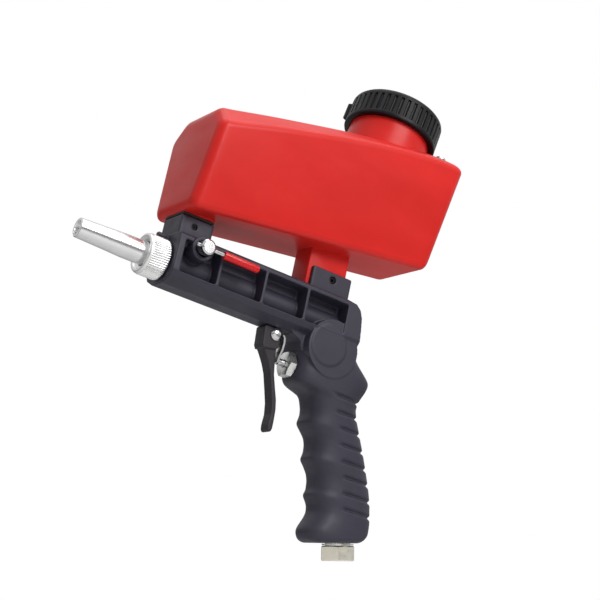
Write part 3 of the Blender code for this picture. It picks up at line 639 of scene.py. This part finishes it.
# ================================================================ air inlet
washer = tube("inlet_washer", INLET, RAKE, 0.4, 1.3, 9.4, 7.9, 24)
finish(washer, "alu")
bush = lathe("inlet_bushing", [(10.4, 0), (10.4, 10.4), (9.7, 10.97), (2.2, 10.97), (1.6, 10.4), (1.6, 0)],
             INLET, RAKE, 6, "frame", False, (0.55, 0.83, 0.0))
boolean(bush, rod("bushing_thread", INLET, RAKE, -14.0, 3.0, 7.5, 24), 'UNION')
boolean(bush, rod("bushing_bore", INLET, RAKE, -20.0, 14.0, 5.4, 24))
boolean(bush, lathe("bush_chamfer", [(10.4, 0), (10.4, 9.6), (9.2, 11.4), (2.8, 11.4), (1.6, 9.7), (-14.0, 9.7), (-14.0, 0)],
                    INLET, RAKE, 24, "frame", False), 'INTERSECT')
finish(bush, "brass", False)
finish(rod("inlet_filter", INLET, RAKE, -16.0, -14.4, 7.3, 20), "brass")


# ==================================================================== hand-over
bpy.context.view_layer.update()
BODY_OF = {n: b for b, ns in frame["record"]["behaviour"]["bodies"].items() for n in ns}
SLOT_OF = {s["node"]: s["material_slot"] for s in frame["record"]["subparts"]}
FINAL = bpy.data.collections.new("finished")
bpy.context.scene.collection.children.link(FINAL)


def settle(name, ob, voxel=None, smooth=0, sharp=32.0):
    """The evaluated shape in the row frame, as a plain mesh object."""
    dg = bpy.context.evaluated_depsgraph_get()
    me = bpy.data.meshes.new_from_object(ob.evaluated_get(dg))
    me.transform(ob.matrix_world)
    out = bpy.data.objects.new(name + "_fine", me)
    FINAL.objects.link(out)
    if voxel:
        r = out.modifiers.new("skin", 'REMESH')
        r.mode = 'VOXEL'
        r.voxel_size = voxel * MM
        r.adaptivity = 0.0
        s = out.modifiers.new("soften", 'SMOOTH')
        s.factor = 0.5
        s.iterations = smooth
        bpy.context.view_layer.update()
        dg = bpy.context.evaluated_depsgraph_get()
        me2 = bpy.data.meshes.new_from_object(out.evaluated_get(dg))
        out.modifiers.clear()
        out.data = me2
        me = me2
    bm = bmesh.new()
    bm.from_mesh(me)
    bmesh.ops.remove_doubles(bm, verts=bm.verts, dist=2e-6)
    bmesh.ops.dissolve_degenerate(bm, edges=bm.edges, dist=2e-6)
    bm.to_mesh(me)
    bm.free()
    me.materials.clear()
    for p in me.polygons:
        p.use_smooth = True
    if sharp < 180:
        me.set_sharp_from_angle(angle=math.radians(sharp))
    return out


PIECES = {}
for name, ob in NODES.items():
    if name == "gun_body":
        PIECES[name] = settle(name, ob, 0.36, 3, 180)
    elif name == "trigger":
        PIECES[name] = settle(name, ob, 0.3, 4, 180)
    elif name == "nozzle_nut":
        PIECES[name] = settle(name, ob, sharp=60.0)
    else:
        PIECES[name] = settle(name, ob)

for ob in list(CUT.objects):
    bpy.data.objects.remove(ob, do_unlink=True)
bpy.data.collections.remove(CUT)
for e in EMPTIES.values():
    bpy.data.objects.remove(e, do_unlink=True)

for name, ob in PIECES.items():
    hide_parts(name)
    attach(ob, BODY_OF[name])


# ==================================================================== materials
class Mat:
    """A small helper for node materials in object coordinates (metres)."""

    def __init__(self, name, rough, metal=0.0, coat=0.0, coat_rough=0.1, ior=1.5):
        self.m = bpy.data.materials.new(name)
        self.m.use_nodes = True
        self.t = self.m.node_tree
        self.b = self.t.nodes["Principled BSDF"]
        self.b.inputs["Metallic"].default_value = metal
        self.b.inputs["IOR"].default_value = ior
        self.b.inputs["Coat Weight"].default_value = coat
        self.b.inputs["Coat Roughness"].default_value = coat_rough
        self.tc = self.t.nodes.new("ShaderNodeTexCoord")
        self.rough = rough

    def noise(self, scale, detail=3.0, stretch=(1, 1, 1), rough=0.5):
        mp = self.t.nodes.new("ShaderNodeMapping")
        mp.inputs["Scale"].default_value = stretch
        self.t.links.new(self.tc.outputs["Object"], mp.inputs["Vector"])
        n = self.t.nodes.new("ShaderNodeTexNoise")
        n.inputs["Scale"].default_value = scale
        n.inputs["Detail"].default_value = detail
        n.inputs["Roughness"].default_value = rough
        self.t.links.new(mp.outputs["Vector"], n.inputs["Vector"])
        return n.outputs["Fac"]

    def ramp(self, fac, stops):
        r = self.t.nodes.new("ShaderNodeValToRGB")
        el = r.color_ramp.elements
        while len(el) < len(stops):
            el.new(0.5)
        for e, (p, c) in zip(el, stops):
            e.position = p
            e.color = (*c, 1) if len(c) == 3 else c
        self.t.links.new(fac, r.inputs["Fac"])
        return r.outputs["Color"]

    def colour(self, fac, stops):
        self.t.links.new(self.ramp(fac, stops), self.b.inputs["Base Color"])
        return self

    def roughness(self, fac, lo, hi):
        mr = self.t.nodes.new("ShaderNodeMapRange")
        mr.inputs["From Min"].default_value = 0.3
        mr.inputs["From Max"].default_value = 0.7
        mr.inputs["To Min"].default_value = lo
        mr.inputs["To Max"].default_value = hi
        self.t.links.new(fac, mr.inputs["Value"])
        self.t.links.new(mr.outputs["Result"], self.b.inputs["Roughness"])
        return self

    def bump(self, layers):
        prev = None
        for fac, dist, strength in layers:
            bp = self.t.nodes.new("ShaderNodeBump")
            bp.inputs["Strength"].default_value = strength
            bp.inputs["Distance"].default_value = dist
            self.t.links.new(fac, bp.inputs["Height"])
            if prev is not None:
                self.t.links.new(prev, bp.inputs["Normal"])
            prev = bp.outputs["Normal"]
        self.t.links.new(prev, self.b.inputs["Normal"])
        return self


def red_plastic():
    m = Mat("hopper_red", 0.36, ior=1.42)
    m.b.inputs["Specular IOR Level"].default_value = 0.32
    big = m.noise(14, 3, (1, 1, 2.2))
    flow = m.noise(30, 4, (0.55, 1, 2.6), 0.55)
    fine = m.noise(2600, 2)
    m.colour(big, [(0.3, (0.60, 0.016, 0.012)), (0.7, (0.70, 0.022, 0.018))])
    m.roughness(flow, 0.30, 0.42)
    m.bump([(flow, 0.0012, 0.10), (fine, 0.00004, 0.25)])
    return m.m


def body_plastic(name="body_charcoal", tint=(0.036, 0.032, 0.050)):
    m = Mat(name, 0.5, ior=1.42)
    big = m.noise(40, 3)
    grain = m.noise(2400, 3)
    fine = m.noise(5200, 2)
    d = tuple(c * 0.82 for c in tint)
    m.colour(big, [(0.3, d), (0.7, tint)])
    m.roughness(m.noise(160, 4), 0.42, 0.56)
    m.bump([(grain, 0.00012, 0.35), (fine, 0.00005, 0.3)])
    return m.m


def black_plastic():
    m = Mat("cap_black", 0.5, ior=1.30)
    m.colour(m.noise(60, 3), [(0.3, (0.004, 0.004, 0.005)), (0.7, (0.008, 0.008, 0.010))])
    m.roughness(m.noise(220, 3), 0.34, 0.48)
    m.bump([(m.noise(3000, 2), 0.00006, 0.3)])
    return m.m


def rubber():
    m = Mat("rubber_black", 0.8)
    m.colour(m.noise(120, 3), [(0.3, (0.02, 0.02, 0.02)), (0.7, (0.035, 0.034, 0.033))])
    m.roughness(m.noise(300, 3), 0.7, 0.9)
    m.bump([(m.noise(2600, 3), 0.00008, 0.4)])
    return m.m


def turned_metal(name, lo, hi, r0, r1, stretch=(60, 1, 1), scale=90, strength=0.15):
    """Fine turning marks: noise squeezed along the axis of the lathe."""
    m = Mat(name, r0, metal=1.0)
    marks = m.noise(scale, 4, stretch, 0.6)
    spots = m.noise(45, 4)
    m.colour(spots, [(0.25, lo), (0.75, hi)])
    m.roughness(marks, r0, r1)
    m.bump([(marks, 0.00003, strength)])
    return m.m


def plated(name, a, b, r0, r1):
    """Zinc or passivated plating with slow tone changes."""
    m = Mat(name, r0, metal=1.0)
    slow = m.noise(70, 4, (1, 1, 1), 0.6)
    m.colour(slow, [(0.3, a), (0.7, b)])
    m.roughness(m.noise(260, 4), r0, r1)
    m.bump([(m.noise(1400, 3), 0.00001, 0.05)])
    return m.m


def vinyl():
    m = Mat("sleeve_red", 0.28, coat=0.08, coat_rough=0.15, ior=1.42)
    m.colour(m.noise(180, 3, (0.3, 1, 1)), [(0.3, (0.58, 0.002, 0.004)), (0.7, (0.68, 0.004, 0.008))])
    m.roughness(m.noise(400, 3), 0.22, 0.34)
    m.bump([(m.noise(900, 2), 0.00001, 0.05)])
    return m.m


BODY_M, RED_M, BLACK_M, RUBBER_M = body_plastic(), red_plastic(), black_plastic(), rubber()
TRIGGER_M = body_plastic("trigger_charcoal", (0.026, 0.021, 0.027))
STEEL_M = turned_metal("nozzle_steel", (0.72, 0.715, 0.71), (0.86, 0.855, 0.85), 0.14, 0.26)
ALU_M = turned_metal("nut_aluminium", (0.80, 0.80, 0.79), (0.88, 0.88, 0.87), 0.30, 0.40, (1, 1, 1), 60, 0.02)
CHROME_M = turned_metal("bright_steel", (0.60, 0.60, 0.60), (0.72, 0.72, 0.72), 0.12, 0.22, (1, 40, 1), 90, 0.1)
ZINC_M = plated("zinc_grey", (0.66, 0.68, 0.66), (0.80, 0.81, 0.78), 0.22, 0.34)
BRASS_M = plated("inlet_yellow_zinc", (0.96, 0.89, 0.72), (1.0, 0.97, 0.86), 0.26, 0.36)
VINYL_M = vinyl()
LOOKS = {
    "gun_body": BODY_M, "trigger": TRIGGER_M, "hopper": RED_M, "cap": BLACK_M, "sand_lever_sleeve": VINYL_M,
    "nozzle": STEEL_M, "hopper_front_screw": BLACK_M, "hopper_rear_screw": BLACK_M, "nozzle_nut": ALU_M, "gland_nut": ZINC_M, "inlet_bushing": BRASS_M, "inlet_washer": ZINC_M,
    "inlet_filter": BRASS_M, "valve_seat": BRASS_M, "air_jet": BRASS_M, "tether_button": ZINC_M,
}
for name, ob in PIECES.items():
    slot_name = SLOT_OF[name]
    mat = LOOKS.get(name) or {"rubber": RUBBER_M, "steel": CHROME_M, "alu": ALU_M, "brass": BRASS_M}.get(slot_name, CHROME_M)
    ob.data.materials.clear()
    ob.data.materials.append(mat)
for name, ob in frame["nodes"].items():
    if name not in PIECES:
        ob.data.materials.clear()
        ob.data.materials.append(CHROME_M)

# ==================================================================== floor, light, camera
O = Vector((0.047, 0.0, 0.080))

bpy.ops.mesh.primitive_plane_add(size=8, location=(0, 0, -0.26))
floor = bpy.context.active_object
floor.name = "floor"
fm = Mat("floor_pale", 0.7)
fm.colour(fm.noise(3, 2), [(0.3, (0.86, 0.86, 0.86)), (0.7, (0.90, 0.90, 0.90))])
fm.b.inputs["Roughness"].default_value = 0.8
floor.data.materials.append(fm.m)

bpy.context.scene.view_settings.view_transform = 'Standard'
w = bpy.data.worlds.new("studio")
bpy.context.scene.world = w
w.use_nodes = True
nt = w.node_tree
for n in list(nt.nodes):
    nt.nodes.remove(n)
out = nt.nodes.new("ShaderNodeOutputWorld")
mix = nt.nodes.new("ShaderNodeMixShader")
lp = nt.nodes.new("ShaderNodeLightPath")
white = nt.nodes.new("ShaderNodeBackground")
white.inputs["Color"].default_value = (1, 1, 1, 1)
white.inputs["Strength"].default_value = 1.0
env = nt.nodes.new("ShaderNodeBackground")
env.inputs["Strength"].default_value = 0.34
tc = nt.nodes.new("ShaderNodeTexCoord")
sep = nt.nodes.new("ShaderNodeSeparateXYZ")
rampn = nt.nodes.new("ShaderNodeValToRGB")
nt.links.new(tc.outputs["Generated"], sep.inputs["Vector"])
mr = nt.nodes.new("ShaderNodeMapRange")
mr.inputs["From Min"].default_value = -1
mr.inputs["From Max"].default_value = 1
nt.links.new(sep.outputs["Z"], mr.inputs["Value"])
nt.links.new(mr.outputs["Result"], rampn.inputs["Fac"])
el = rampn.color_ramp.elements
for _ in range(4):
    el.new(0.5)
for e, (p, c) in zip(el, [(0.0, 0.25), (0.40, 0.45), (0.48, 0.14), (0.56, 0.50), (0.72, 1.0), (1.0, 1.0)]):
    e.position = p
    e.color = (c, c, c * 1.01, 1)
nt.links.new(rampn.outputs["Color"], env.inputs["Color"])
nt.links.new(lp.outputs["Is Camera Ray"], mix.inputs["Fac"])
glow = nt.nodes.new("ShaderNodeBackground")
glow.inputs["Strength"].default_value = 0.8
nt.links.new(rampn.outputs["Color"], glow.inputs["Color"])
mix0 = nt.nodes.new("ShaderNodeMixShader")
nt.links.new(lp.outputs["Is Glossy Ray"], mix0.inputs["Fac"])
nt.links.new(env.outputs["Background"], mix0.inputs[1])
nt.links.new(glow.outputs["Background"], mix0.inputs[2])
nt.links.new(mix0.outputs["Shader"], mix.inputs[1])
nt.links.new(white.outputs["Background"], mix.inputs[2])
nt.links.new(mix.outputs["Shader"], out.inputs["Surface"])

YAW, PITCH, ROLL, DIST = math.radians(31.0), math.radians(-17.0), math.radians(12.0), 0.850
target = O + Vector((0, 0, 0.009))
vdir = Vector((math.sin(YAW) * math.cos(PITCH), math.cos(YAW) * math.cos(PITCH), math.sin(PITCH)))
rdir = Vector((-math.cos(YAW), math.sin(YAW), 0))
udir = vdir.cross(rdir)
right = rdir * math.cos(ROLL) + udir * math.sin(ROLL)
up = -rdir * math.sin(ROLL) + udir * math.cos(ROLL)
cam_data = bpy.data.cameras.new("camera")
cam = bpy.data.objects.new("camera", cam_data)
bpy.context.scene.collection.objects.link(cam)
cam_data.sensor_width = 36.0
cam_data.lens = 1.68 * 850.0 / 600.0 * 36.0
cam_data.clip_start = 0.01
cam_data.dof.use_dof = False
pos = target + vdir * DIST
cam.matrix_world = Matrix(((right.x, up.x, vdir.x, pos.x), (right.y, up.y, vdir.y, pos.y),
                           (right.z, up.z, vdir.z, pos.z), (0, 0, 0, 1)))
bpy.context.scene.camera = cam


def softbox(name, where, size, power, look=target, tint=(1, 1, 1)):
    d = bpy.data.lights.new(name, 'AREA')
    d.shape = 'RECTANGLE'
    d.size, d.size_y = size
    d.energy = power
    d.color = tint
    o = bpy.data.objects.new(name, d)
    bpy.context.scene.collection.objects.link(o)
    o.location = where
    o.rotation_euler = (look - Vector(where)).to_track_quat('-Z', 'Y').to_euler()
    return o


side, fwd = rdir, vdir
softbox("key", target + udir * 0.70 + side * 0.50 + fwd * 0.60, (0.6, 0.5), 7.2)
softbox("top", target + Vector((0, 0, 0.9)) + fwd * 0.1, (0.9, 0.6), 3.4)
softbox("left", target - side * 0.9 + udir * 0.25 + fwd * 0.4, (0.4, 0.9), 0.25)
softbox("front", target + fwd * 1.1 + udir * 0.05 + side * 0.1, (0.8, 0.6), 0.9)
